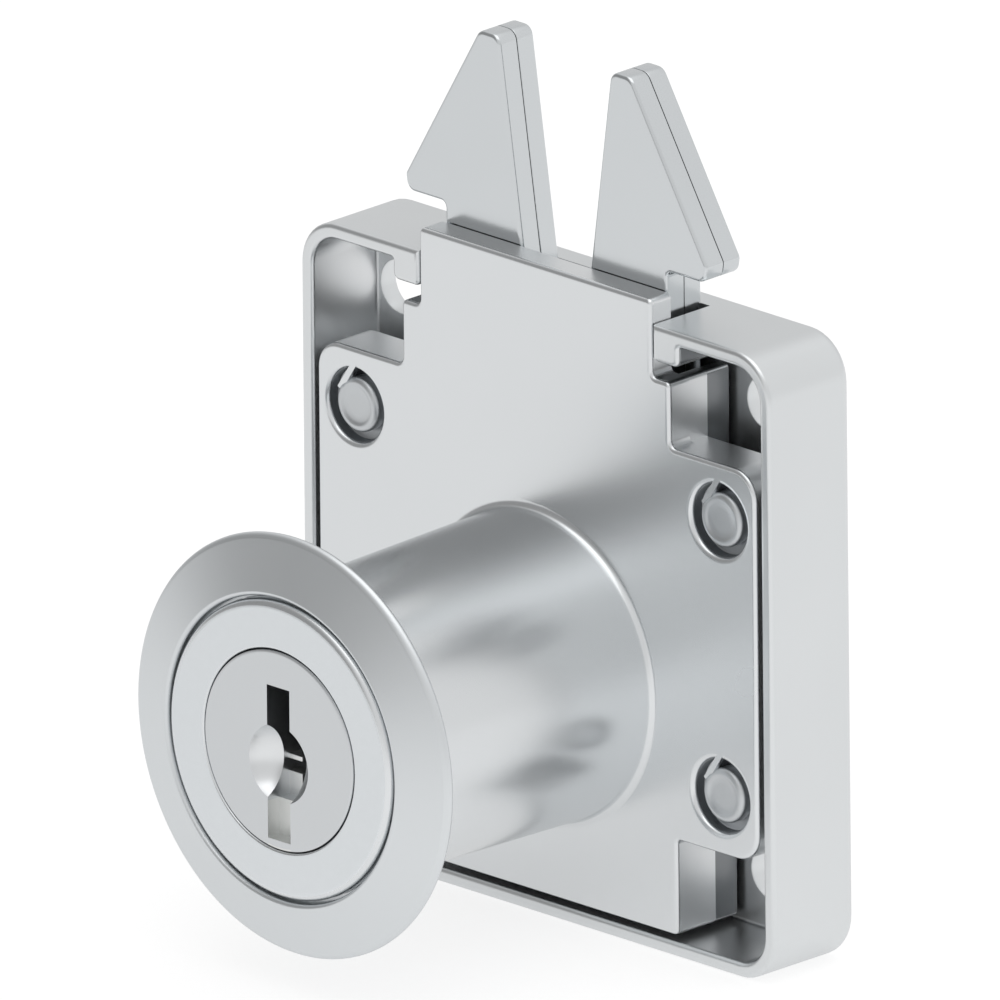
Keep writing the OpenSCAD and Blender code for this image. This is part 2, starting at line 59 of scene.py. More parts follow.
TURN = 2*np.pi
# width of the flat strip beside a rounded edge, and slack of the tests that pick faces
GUARD = 0.05
SLACK = 0.01


def corners(node):
    """Lowest and highest corner of a node of the frame, in millimetres."""
    low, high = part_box(node)
    return np.array(low)/MM, np.array(high)/MM


case_low, case_high = corners("case")
casting_low, casting_high = corners("front_casting")
rosette_low, rosette_high = corners("rosette")
claw_low, claw_high = corners("claw_right_front")
claw_back_low, claw_back_high = corners("claw_right_back")
plug_high = corners("plug")[1]

# Case
CORNER_R = 3.0
BACK_ROUND = 0.7
RIM_ROUND = 0.3
WALL = 0.95
FLOOR_Y = 5.6
FLOOR_ROUND = 0.2
GATE_Y = 5.0
LUG_W, LUG_H = 2.2, 1.35
SCREW_R = 1.7
SCREW_IN, SCREW_OUT = 14.2, 17.05
SCREW_TOP, SCREW_LOW = 18.65, -11.4
HOLE_EDGE, HOLE_BACK = 0.04, 0.2
PAD_R, PAD_Y = 2.5, 4.95
PAD_EDGE = 0.1
SIDE_GAP = 0.1

# Front casting
PLATE_T = 1.75
NECK_X = 9.87
FOOT_Z = 20.6
WAIST_X = 11.38
TAIL_X = 11.7
SHOULDER_Z = 16.45
LOW_Z = -8.5
PLATE_R = 1.8
WING_Y = 3.3
SKIRT_T = 1.1
PLATE_EDGE = 0.27
BLOCK_Y = 5.2
BLOCK_EDGE = 0.09
SEAM_IN, SEAM_T = 0.03, 0.02
BOSS_R = 2.8

# Barrel, rosette and plug
COLLAR_R = 9.43
COLLAR_L = 2.0
COLLAR_STEP = 0.1
NOSE_R = 0.5
LIP_R = 0.16
BARREL_R = 9.3
FOOT_R = 9.75
FOOT_FILLET = 0.5
BORE_R = 6.4
WEB_Y = -1.25
JOURNAL_R = 4.2
JOURNAL_GAP = 0.05
ROSETTE_GAP = 0.02
ROSETTE_RIM = 0.45
GROOVE_W, GROOVE_T = 0.17, 0.95
PLUG_EDGE = 0.18
PLUG_GAP = 0.06
KEY_X = 0.96
KEY_Z = -0.85
KEY_HALF = 4.9
KEY_DEEP = 18.6
KEY_FOOT, KEY_FOOT_T = 2.35, 1.0
DIMPLE_R, DIMPLE_T = 2.5, 1.6

# Window of the first wafer, the bar and slit that end at STEP_X in it, and the spring's notch
WINDOW_X = 1.6
WINDOW_TOP, WINDOW_LOW = 5.2, -3.4
STEP_X = 0.12
BAR_TOP, BAR_LOW = -0.84, -1.15
SLIT_LOW = -1.92
NOTCH_X = 2.15
NOTCH_TOP, NOTCH_LOW = 0.3, -3.1

# Rivets and the sunk rings round them
RIVET_R = 1.5
RIVET_GAP = 0.02
HEAD_R = 1.74
RIVET_X = 15.5
RIVET_TOP, RIVET_LOW = 12.8, -4.8
RIVETS = [(x, z) for x in (-RIVET_X, RIVET_X) for z in (RIVET_TOP, RIVET_LOW)]
RIVET_SINK = 0.15
RIVET_CONE = 0.8
CLOSED_R, CLOSED_SINK = 2.2, 0.03
RING_R = 2.35
RING_T = 1.0
RING_LIP = 0.33
RING_FOOT = 0.12
BAR_W = 0.4
BAR_TURN = np.radians(34)

# Claws
PIVOT_X, PIVOT_Z = 7.2, 6.0
PIVOT_R = 1.3
PIVOT_GAP = 0.05
SWING = np.radians(8.2)
CLOSED_GAP = 0.3
TIP_W = 1.7
BARB_X = 12.85
BARB_RISE = 2.8
BARB_SLOPE = np.radians(31)
BARB_CUT = 0.15
STEM_X = 9.45
STEM_RISE = 5.0
EYE_X, EYE_RISE = 2.8, 1.5
HIP_X, HIP_DROP = 2.4, 3.5
CAM_MIN = 4.65
CLAW_TAIL_W = 3.6
CLAW_TAIL_TOP, CLAW_TAIL_BEND, CLAW_TAIL_LOW = 3.2, -2.0, -7.2
FORK_X, FORK_Z = 3.0, 6.75
FORK_STEP, FORK_EDGE = 7.15, 7.75
CLAW_EDGE, PLY_EDGE = 0.24, 0.04

case_top, case_bot = case_high[2], case_low[2]
case_back = case_high[1]
case_mid_z = (case_top + case_bot)/2
face_y = casting_low[1]
plate_x = casting_high[0]
plate_z = casting_low[2]
neck_top = casting_high[2]


# Outlines

def round_corner(p, a, b, r, n):
    """Points of the arc of radius r that rounds the corner p between a and b."""
    u, v = (a - p)/np.linalg.norm(a - p), (b - p)/np.linalg.norm(b - p)
    half = np.arccos(np.clip(u @ v, -1, 1))/2
    middle = p + (u + v)/np.linalg.norm(u + v)*r/np.sin(half)
    start, end = p + u*r/np.tan(half) - middle, p + v*r/np.tan(half) - middle
    a0 = np.arctan2(start[1], start[0])
    da = (np.arctan2(end[1], end[0]) - a0 + np.pi) % TURN - np.pi
    t = a0 + da*np.linspace(0, 1, n + 1)
    return middle + r*np.stack([np.cos(t), np.sin(t)], 1)


def rounded(points, n=8):
    """Closed outline through corners [x, z, radius], each rounded by its radius."""
    pts = np.array(points, float)
    out = []
    for k, (x, z, r) in enumerate(pts):
        p, a, b = pts[k, :2], pts[k - 1, :2], pts[(k + 1) % len(pts), :2]
        out.append(round_corner(p, a, b, r, n) if r > 0 else p[None])
    return np.concatenate(out)


def both_sides(half):
    """Closed outline from the corners of its right half, listed upwards from the bottom."""
    return half + [[-x, z, r] for x, z, r in reversed(half)]


def circle(r, x=0.0, z=0.0, n=64):
    """Circle, anticlockwise seen from the front."""
    t = np.arange(n)/n*TURN
    return np.stack([x + r*np.cos(t), z + r*np.sin(t)], 1)


def arc(r, a, b, n, x=0.0, z=0.0):
    """Arc of radius r from angle a to angle b, in degrees."""
    t = np.radians(np.linspace(a, b, n))
    return np.stack([x + r*np.cos(t), z + r*np.sin(t)], 1)


def slotted(x0, x1, z, r, n=24):
    """Outline of an oblong hole whose ends are centred on x0 and x1, anticlockwise."""
    return np.concatenate([arc(r, -90, 90, n, max(x0, x1), z), arc(r, 90, 270, n, min(x0, x1), z)])


def drawn_in(loop, d):
    """The loop moved by d towards its left side, each corner along its own mitre. d is one
    distance, or one for each point."""
    before, after = loop - np.roll(loop, 1, 0), np.roll(loop, -1, 0) - loop
    before = before/np.linalg.norm(before, axis=1)[:, None]
    after = after/np.linalg.norm(after, axis=1)[:, None]
    n0 = np.stack([before[:, 1], -before[:, 0]], 1)
    n1 = np.stack([after[:, 1], -after[:, 0]], 1)
    mitre = (n0 + n1)/(1 + np.sum(n0*n1, 1))[:, None]
    return loop - np.broadcast_to(d, len(loop))[:, None]*mitre


def front_edge(y, r, n=5):
    """Quarter round from a front face at depth y into a side wall, as [drawn in, depth]. It
    starts with a narrow flat strip, so that the face beyond shades flat."""
    t = np.linspace(0, np.pi/2, n + 1)
    guard = [[r + GUARD, y]] if r > GUARD else []
    return guard + [[r*(1 - np.sin(a)), y + r*(1 - np.cos(a))] for a in t]


def back_edge(y, r, n=5):
    """Quarter round from a side wall into a back face at depth y."""
    return [[d, 2*y - v] for d, v in reversed(front_edge(y, r, n))]


class Shell:
    """A mesh gathered from rings of points, strips between them and flat caps."""

    def __init__(self):
        self.points, self.faces, self.count = [], [], 0
        self.coats = []

    def ring(self, loop, y):
        """The loop at depth y; y may differ from point to point."""
        pts = np.stack([loop[:, 0], np.broadcast_to(y, len(loop)), loop[:, 1]], 1)
        return self.add(pts)

    def add(self, pts):
        self.points.append(pts)
        self.count += len(pts)
        return np.arange(self.count - len(pts), self.count)

    def strip(self, a, b, closed=True):
        """Quads between two rings; seen from outside b lies behind a."""
        a1, b1 = np.roll(a, -1), np.roll(b, -1)
        quads = np.stack([a, b, b1, a1], 1)
        self.faces += (quads if closed else quads[:-1]).tolist()

    def bands(self, rings, closed=True, flip=False):
        """A strip from each ring to the next; flip turns the strips to face the other way."""
        for a, b in zip(rings, rings[1:]):
            self.strip(*((b, a) if flip else (a, b)), closed)
        return rings

    def walls(self, loop, profile):
        """The loop carried along a profile of [drawn in, depth]; gives its rings."""
        return self.bands([self.ring(drawn_in(loop, d), y) for d, y in profile])

    def cap(self, rings, back=False):
        """Flat face bounded by the first ring, with the others as its holes."""
        pts = np.concatenate(self.points)
        index = np.concatenate(rings)
        flat = [[Vector((pts[i, 0], pts[i, 2], 0)) for i in r] for r in rings]
        tris = np.array(tessellate_polygon(flat))
        p = pts[index][tris][:, :, [0, 2]]
        e, f = p[:, 1] - p[:, 0], p[:, 2] - p[:, 0]
        turn = e[:, 0]*f[:, 1] - e[:, 1]*f[:, 0]
        tris = tris[np.abs(turn) > 1e-9]
        turn = turn[np.abs(turn) > 1e-9]
        wrong = (turn > 0) == back
        tris[wrong] = tris[wrong][:, ::-1]
        self.faces += index[tris].tolist()

    def slab(self, loop, y0, y1, front=0.1, back=0.1, holes=()):
        """Plate between two depths with rounded edges. holes are clockwise loops."""
        profile = front_edge(y0, front) + back_edge(y1, back)
        rings = [self.walls(one, profile) for one in (loop, *holes)]
        self.cap([r[0] for r in rings])
        self.cap([r[-1] for r in rings], back=True)

    def lathe(self, profile, n=96, x=0.0, z=0.0):
        """Profile of [radius, depth] turned about an axis along Y."""
        return self.bands([self.ring(circle(r, x, z, n), y) for r, y in profile])

    def coat(self, material, where):
        """Another material for the faces at which where(centre, normal) holds."""
        self.coats.append((material, where))

    def piece(self, name, body, material, replaces=(), sharp=32.0):
        """Makes the mesh, smooth but for edges sharper than the angle, and places it."""
        mesh = bpy.data.meshes.new(name)
        mesh.from_pydata((np.concatenate(self.points)*MM).tolist(), [], self.faces)
        bm = bmesh.new()
        bm.from_mesh(mesh)
        bmesh.ops.remove_doubles(bm, verts=bm.verts, dist=2e-8)
        bmesh.ops.dissolve_degenerate(bm, edges=bm.edges, dist=1e-8)
        bm.to_mesh(mesh)
        bm.free()
        mesh.validate()
        mesh.polygons.foreach_set("use_smooth", np.ones(len(mesh.polygons), bool))
        mesh.set_sharp_from_angle(angle=np.radians(sharp))
        piece = bpy.data.objects.new(name, mesh)
        bpy.context.scene.collection.objects.link(piece)
        even = piece.modifiers.new("even shading", "WEIGHTED_NORMAL")
        even.keep_sharp = True
        even.weight = 100
        mesh.materials.append(material)
        for k, (coat, where) in enumerate(self.coats, 1):
            mesh.materials.append(coat)
            for face in mesh.polygons:
                if where(face.center/MM, face.normal):
                    face.material_index = k
        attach(piece, body)
        if replaces:
            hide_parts(*replaces)
        return piece


# Materials

def socket(tree, name, kind, side, value=None):
    """A named input or output on a node group."""
    made = tree.interface.new_socket(name, in_out=side, socket_type=kind)
    if value is not None:
        made.default_value = value
    return made


def math_node(nodes, links, operation, *values):
    """Result of a Math node; each value is a number or another node's output."""
    node = nodes.new("ShaderNodeMath")
    node.operation = operation
    for slot, value in zip(node.inputs, values):
        if isinstance(value, (int, float)):
            slot.default_value = value
        else:
            links.new(value, slot)
    return node.outputs[0]


def ramp(nodes, links, value, low, high, first=0.0, last=1.0):
    """Smooth passage from first to last as the value goes from low to high."""
    node = nodes.new("ShaderNodeMapRange")
    node.interpolation_type = "SMOOTHSTEP"
    for key, number in (("From Min", low), ("From Max", high), ("To Min", first), ("To Max", last)):
        node.inputs[key].default_value = number
    links.new(value, node.inputs["Value"])
    return node.outputs["Result"]


def make_finish_group():
    """Satin plate: fine grain in the height, and slow soft clouds in tone and gloss."""
    tree = bpy.data.node_groups.new("plated finish", "ShaderNodeTree")
    for name, value in (("Grain", 0.5), ("Grain scale", 900.0), ("Cloud", 0.04),
                        ("Cloud scale", 90.0), ("Roughness", 0.25)):
        socket(tree, name, "NodeSocketFloat", "INPUT", value)
    socket(tree, "Color", "NodeSocketColor", "INPUT", (0.7, 0.7, 0.7, 1))
    socket(tree, "Color", "NodeSocketColor", "OUTPUT")
    socket(tree, "Roughness", "NodeSocketFloat", "OUTPUT")
    socket(tree, "Height", "NodeSocketFloat", "OUTPUT")
    nodes, links = tree.nodes, tree.links
    given, out = nodes.new("NodeGroupInput"), nodes.new("NodeGroupOutput")
    place = nodes.new("ShaderNodeTexCoord")
    cloud, grain = nodes.new("ShaderNodeTexNoise"), nodes.new("ShaderNodeTexNoise")
    cloud.inputs["Detail"].default_value = 3
    grain.inputs["Detail"].default_value = 4
    for noise, scale in ((cloud, "Cloud scale"), (grain, "Grain scale")):
        links.new(place.outputs["Object"], noise.inputs["Vector"])
        links.new(given.outputs[scale], noise.inputs["Scale"])
    swing = math_node(nodes, links, "SUBTRACT", cloud.outputs[0], 0.5)
    amount = math_node(nodes, links, "MULTIPLY", swing, given.outputs["Cloud"])
    tone = nodes.new("ShaderNodeVectorMath")
    tone.operation = "SCALE"
    links.new(given.outputs["Color"], tone.inputs[0])
    links.new(math_node(nodes, links, "ADD", amount, 1.0), tone.inputs["Scale"])
    links.new(tone.outputs[0], out.inputs["Color"])
    links.new(math_node(nodes, links, "ADD", given.outputs["Roughness"], amount),
              out.inputs["Roughness"])
    links.new(math_node(nodes, links, "MULTIPLY", grain.outputs[0], given.outputs["Grain"]),
              out.inputs["Height"])
    return tree


FINISH = make_finish_group()


def plated(name, color, roughness, grain=0.25, grain_scale=900.0, cloud=0.06, cloud_scale=90.0,
           bump=0.00002):
    """Metal with the shared finish: color is linear, bump the grain's height in metres."""
    material = bpy.data.materials.new(name)
    material.use_nodes = True
    nodes, links = material.node_tree.nodes, material.node_tree.links
    shader = nodes["Principled BSDF"]
    shader.inputs["Metallic"].default_value = 1.0
    group = nodes.new("ShaderNodeGroup")
    group.node_tree = FINISH
    group.inputs["Color"].default_value = (*color, 1)
    for key, value in (("Roughness", roughness), ("Grain", grain), ("Grain scale", grain_scale),
                       ("Cloud", cloud), ("Cloud scale", cloud_scale)):
        group.inputs[key].default_value = value
    links.new(group.outputs["Color"], shader.inputs["Base Color"])
    links.new(group.outputs["Roughness"], shader.inputs["Roughness"])
    relief = nodes.new("ShaderNodeBump")
    relief.inputs["Strength"].default_value = 0.3
    relief.inputs["Distance"].default_value = bump
    links.new(group.outputs["Height"], relief.inputs["Height"])
    links.new(relief.outputs["Normal"], shader.inputs["Normal"])
    return material


case_plate = plated("case plate", (0.77, 0.79, 0.80), 0.30)
# painted light: a lighter copy of the case plate, for the tray's inner walls and floor
case_inside_painted_light = plated("case inside painted light", (0.83, 0.845, 0.855), 0.36)
casting_plate = plated("casting plate", (0.775, 0.795, 0.808), 0.26)
# painted light: a lighter copy of the casting plate, for the casting's side faces
casting_side_painted_light = plated("casting side painted light", (0.83, 0.845, 0.855), 0.36)
blasted_face = plated("blasted face", (0.81, 0.84, 0.86), 0.42, grain=1.0, grain_scale=2600.0,
                      cloud=0.05, cloud_scale=1500.0, bump=0.00003)
# painted shade: a dark copy of the plate, for the sunk rings round the rivets
groove_painted_shade = plated("groove painted shade", (0.40, 0.415, 0.43), 0.34)
# painted shade: a dark copy of the plate, for the lug sides, the block's side walls behind the
# wings and the tops of the plate's foot
recess_painted_shade = plated("recess painted shade", (0.25, 0.26, 0.27), 0.34)
rosette_plate = plated("rosette plate", (0.745, 0.77, 0.785), 0.38)
plug_plate = plated("plug plate", (0.675, 0.695, 0.71), 0.30)
# painted light: a lighter copy of the plug plate, for the dimple's bowl
bowl_painted_light = plated("bowl painted light", (0.79, 0.805, 0.815), 0.30)
# rougher, and painted light: a lighter copy of the plug plate, for the shallow foot of the keyway
keyway_painted_light = plated("keyway painted light", (0.80, 0.81, 0.80), 0.40)
claw_plate = plated("claw plate", (0.68, 0.705, 0.72), 0.20)
rivet_plate = plated("rivet plate", (0.62, 0.64, 0.655), 0.38)
dark_steel = plated("dark steel", (0.30, 0.30, 0.31), 0.40)
wafer_brass = plated("wafer brass", (0.84, 0.845, 0.835), 0.38)
spring_steel = plated("spring wire", (0.40, 0.40, 0.41), 0.35)


# Case

def case_outline(d=0.0):
    """Rounded square of the case, drawn in by d on all sides."""
    x, r = case_high[0] - d, CORNER_R - d
    low, high = case_bot + d, case_top - d
    return [[-x, high, r], [-x, low, r], [x, low, r], [x, high, r]]


def make_case():
    """Tray with an opening for the claws in its upper wall and two lugs beside it."""
    shell = Shell()
    gate = NECK_X + SIDE_GAP
    wall_z = case_top - WALL
    lug_x, lug_z = gate + LUG_W, wall_z - LUG_H
    outer = rounded([[gate, case_top, 0], [-gate, case_top, 0]] + case_outline(), 10)
    inner = [[gate, wall_z, 0], [gate, lug_z, 0.36], [lug_x, lug_z, 0.5], [lug_x, wall_z, 0.2]]
    inner += [[x, z, r] for x, z, r in reversed(case_outline(WALL))]
    inner += [[-x, z, r] for x, z, r in reversed(inner[:4])]
    hollow = rounded(inner, 10)
    # the walls in front of the opening's end: outside from the left edge of the opening
    # round to its right edge, then back along the inside
    around = np.concatenate([np.roll(outer, -1, 0), hollow])
    rings = shell.walls(around, front_edge(0, RIM_ROUND) + [[0, GATE_Y]])
    shell.cap([rings[0]])
    step = np.array([[-gate, wall_z], [gate, wall_z], [gate, case_top], [-gate, case_top]])
    shell.cap([shell.ring(step, GATE_Y)])
    back = shell.walls(outer, [[0, GATE_Y]] + back_edge(case_back, BACK_ROUND, 8))[-1]
    # the floor's rounding, which ends at the lugs
    lug = (np.abs(hollow[:, 0]) < lug_x + 0.1) & (hollow[:, 1] > wall_z - LUG_H - 0.1)
    free = np.where(lug, 0, FLOOR_ROUND)
    t = np.linspace(0, np.pi/2, 8)
    rings = [shell.ring(hollow, GATE_Y)]
    for a in t:
        loop = drawn_in(hollow, -free*(1 - np.cos(a)))
        rings.append(shell.ring(loop, FLOOR_Y - FLOOR_ROUND*(1 - np.sin(a))))
    rings.append(shell.ring(drawn_in(hollow, -free - GUARD), FLOOR_Y))
    front = shell.bands(rings)[-1]
    holes = []
    for s in (-1, 1):
        for z in (SCREW_TOP, SCREW_LOW):
            slot = slotted(s*SCREW_IN, s*SCREW_OUT, z, SCREW_R)[::-1]
            holes.append(shell.walls(slot, front_edge(FLOOR_Y, HOLE_EDGE, 3)
                                     + back_edge(case_back, HOLE_BACK, 4)))
    for x, z in RIVETS:
        hole = circle(RIVET_R + RIVET_GAP, x, z, 48)[::-1]
        sunk = [[0, FLOOR_Y], [0, case_back - RIVET_CONE], [RIVET_CONE, case_back]]
        holes.append(shell.walls(hole, sunk))
    shell.cap([front[::-1]] + [h[0] for h in holes])
    shell.cap([back] + [h[-1] for h in holes], back=True)
    for x in (-PIVOT_X, PIVOT_X):
        shell.lathe([[PIVOT_R, FLOOR_Y], [PIVOT_R, PAD_Y], [PAD_R - PAD_EDGE, PAD_Y],
                     [PAD_R, PAD_Y + PAD_EDGE], [PAD_R, FLOOR_Y]], 48, x, PIVOT_Z)
    core_x, core_z = case_high[0] - CORNER_R, (case_top - case_bot)/2 - CORNER_R
    rim_y = RIM_ROUND + GUARD
    # painted light on the tray's inner walls and floor
    shell.coat(case_inside_painted_light, lambda at, n: rim_y < at[1] < FLOOR_Y + SLACK and np.hypot(
        max(abs(at[0]) - core_x, 0), max(abs(at[2] - case_mid_z) - core_z, 0)) < CORNER_R - WALL/2)
    # painted shade on the lug sides beside the opening
    shell.coat(recess_painted_shade, lambda at, n: at[1] > rim_y and abs(n[0]) > 0.7
               and abs(abs(at[0]) - lug_x) < 5*SLACK and lug_z < at[2] < wall_z)
    shell.piece("case_tray", "lock_case", case_plate, ["case"])


# Front casting with the barrel

def ring_outline(x, z, r):
    """Clockwise outline of the sunk ring round a rivet, of outer radius r. A slanting bar
    that touches the rivet crosses the ring."""
    left, right = -RIVET_R - BAR_W/2, -RIVET_R + BAR_W/2
    outside = np.degrees(np.arccos(right/r)), np.degrees(np.arccos(left/r))
    touch = np.degrees(np.arccos(right/RIVET_R))
    loop = np.concatenate([
        arc(r, outside[0], outside[1] - 360, 72), [[left, 0.4], [left, 0]],
        arc(RIVET_R, 180, touch, 6)])
    c, s = np.cos(BAR_TURN), np.sin(BAR_TURN)
    return np.stack([x + loop[:, 0]*c + loop[:, 1]*s, z - loop[:, 0]*s + loop[:, 1]*c], 1)


def make_casting():
    """Plate with neck and wings, the walls behind it, and the barrel turned on its front."""
    shell = Shell()
    outline = rounded(both_sides([
        [TAIL_X, plate_z, 0.4], [TAIL_X, LOW_Z, 0.3], [plate_x, LOW_Z, PLATE_R],
        [plate_x, SHOULDER_Z, PLATE_R], [WAIST_X, SHOULDER_Z, 0.5], [WAIST_X, FOOT_Z, 0.36],
        [NECK_X, FOOT_Z, 0.4], [NECK_X, neck_top, 0.36]]), 8)
    edge = shell.walls(outline, front_edge(0, PLATE_EDGE) + [[0, PLATE_T]])
    holes = []
    slope = [[RING_R + d, y] for d, y in front_edge(0, RING_LIP)]
    slope += [[RING_R, RING_T - RING_FOOT], [RING_R - RING_FOOT/3, RING_T - RING_FOOT/3],
              [RING_R - RING_FOOT, RING_T]]
    for x, z in RIVETS:
        sides = shell.bands([shell.ring(ring_outline(x, z, r), y) for r, y in slope])
        shell.cap([sides[-1][::-1]])
        holes.append(sides[0])
    # bore, face ring, collar, tapered barrel and the fillet at its foot, from the back
    t = np.linspace(0, np.pi/2, 7)
    fillet = [[FOOT_R + FOOT_FILLET*(1 - np.cos(a)), -FOOT_FILLET*(1 - np.sin(a))] for a in t]
    nose = [[COLLAR_R - NOSE_R*(1 - np.sin(a)), face_y + NOSE_R*(1 - np.cos(a))] for a in t]
    lip = [[BORE_R + LIP_R*(1 - np.cos(a)), face_y + LIP_R*(1 - np.sin(a))] for a in t]
    lip.append([BORE_R + LIP_R + GUARD, face_y])
    nose.insert(0, [COLLAR_R - NOSE_R - GUARD, face_y])
    hole_r, collar_y = JOURNAL_R + JOURNAL_GAP, face_y + COLLAR_L
    turned = shell.lathe(
        [[hole_r, PLATE_T], [hole_r, WEB_Y], [BORE_R, WEB_Y]] + lip + nose
        + [[COLLAR_R, collar_y], [BARREL_R, collar_y + COLLAR_STEP]] + fillet, 160)
    shell.cap([edge[0], turned[-1]] + holes)
    shell.cap([edge[-1], turned[0]], back=True)
    # wings and middle block behind the plate
    for s in (1, -1):
        wing = [[WAIST_X, LOW_Z, 0], [plate_x, LOW_Z, PLATE_R], [plate_x, SHOULDER_Z, PLATE_R],
                [WAIST_X, SHOULDER_Z, 0], [WAIST_X, SHOULDER_Z - SKIRT_T, 0],
                [plate_x - SKIRT_T, SHOULDER_Z - SKIRT_T, 0.8],
                [plate_x - SKIRT_T, LOW_Z + SKIRT_T, 0.8], [WAIST_X, LOW_Z + SKIRT_T, 0]]
        wing = [[s*x, z, r] for x, z, r in wing[::s]]
        shell.slab(rounded(wing), PLATE_T, WING_Y, front=0.001)
    half = [[TAIL_X, plate_z, 0.4], [TAIL_X, LOW_Z, 0.15], [WAIST_X, LOW_Z, 0.15],
            [WAIST_X, FOOT_Z, 0.3]]
    inside = [[x - SKIRT_T, z, r] for x, z, r in reversed(half)]
    inside[-1][1] += SKIRT_T
    half = half + inside
    block = half + [[-x, z, r] for x, z, r in reversed(half)]
    behind = [[d + SEAM_IN, y] for d, y in back_edge(BLOCK_Y, BLOCK_EDGE)]
    rings = shell.walls(rounded(block),
                        [[0, PLATE_T], [0, WING_Y], [SEAM_IN, WING_Y + SEAM_T]] + behind)
    shell.cap([rings[0]])
    shell.cap([rings[-1]], back=True)
    bore = RIVET_R + RIVET_GAP
    for x, z in RIVETS:
        shell.lathe([[bore, FLOOR_Y], [bore, PLATE_T], [BOSS_R, PLATE_T],
                     [BOSS_R, FLOOR_Y], [bore, FLOOR_Y]], 48, x, z)
    # painted light on the faces that look sideways, behind the rings' depth
    shell.coat(casting_side_painted_light, lambda at, n: at[1] > RING_T and abs(n[1]) < 0.5)
    # painted shade on the block's side walls behind the wings
    shell.coat(recess_painted_shade, lambda at, n: at[1] > WING_Y and abs(n[0]) > 0.9
               and abs(at[0]) < WAIST_X + 1)
    # painted shade on the tops of the plate's foot between neck and waist
    shell.coat(recess_painted_shade, lambda at, n: at[1] > PLATE_EDGE and n[2] > 0.7
               and NECK_X + 0.2 < abs(at[0]) < WAIST_X and abs(at[2] - FOOT_Z) < 0.1)
    shell.coat(blasted_face, lambda at, n: at[1] < face_y + SLACK)
    mid_z, half_z = (RIVET_TOP + RIVET_LOW)/2, (RIVET_TOP - RIVET_LOW)/2
    # painted shade in the sunk rings round the rivets
    shell.coat(groove_painted_shade, lambda at, n: RING_LIP < at[1] < RING_T + SLACK and np.hypot(
        abs(at[0]) - RIVET_X, abs(at[2] - mid_z) - half_z) < RING_R + SLACK)
    shell.piece("front_plate", "lock_case", casting_plate, ["front_casting"])


def make_rosette():
    """Thin cone with a chamfered bore and a rounded rim."""
    y0, y1 = rosette_low[1], rosette_high[1]
    r0, r1 = COLLAR_R + ROSETTE_GAP, rosette_high[0]
    front = y1 - ROSETTE_RIM
    # each rounding as [in from its radius, behind its depth]
    mouth = [[0.17, 0.3], [0.22, 0.16], [0.31, 0.06], [0.42, 0.02], [0.42 + GUARD, 0.03]]
    rim = [[0.36, -0.13], [0.3, -0.1], [0.18, -0.02], [0.08, 0.07], [0.01, 0.2]]
    foot = [[0, 0.15], [0.03, 0.06], [0.1, 0]]
    profile = [[r0, y1], [r0, y0 + GROOVE_T], [r0 + GROOVE_W, y0 + GROOVE_T]]
    profile += [[r0 + d, y0 + y] for d, y in mouth]
    profile += [[r1 - d, front + y] for d, y in rim]
    profile += [[r1 - d, y1 - y] for d, y in foot] + [[r0, y1]]
    shell = Shell()
    shell.lathe(profile, 192)
    shell.piece("rosette_ring", "lock_case", rosette_plate, ["rosette"])


def make_case_rivets():
    """Four rivets: a rounded, slightly dished head in front, a sunk cone behind."""
    shell = Shell()
    head = [[0, 0.13], [0.7, 0.13], [1.05, 0.11], [1.2, 0.06], [1.3, 0.01], [1.4, 0], [1.52, 0.03],
            [1.63, 0.1], [1.71, 0.2], [HEAD_R, 0.32]]
    neck, closed = RING_T + 0.02, case_back - CLOSED_SINK
    head = [[r, y + RIVET_SINK] for r, y in head] + [[HEAD_R, neck]]
    tail = [[RIVET_R, neck], [RIVET_R, case_back - RIVET_CONE + 0.05],
            [CLOSED_R, closed - 0.03], [CLOSED_R - 0.08, closed], [0, closed]]
    for x, z in RIVETS:
        shell.lathe(head + tail, 64, x, z)
    shell.piece("case_rivet_heads", "lock_case", rivet_plate, ["case_rivets"])


# Plug

def dimple_depth(x, z):
    """Depth of the spherical dimple below the face at a point, zero outside it."""
    ball = (DIMPLE_R**2 + DIMPLE_T**2)/(2*DIMPLE_T)
    inside = np.maximum(ball**2 - x**2 - (z - KEY_Z)**2, 0)
    return np.maximum(np.sqrt(inside) - (ball - DIMPLE_T), 0)


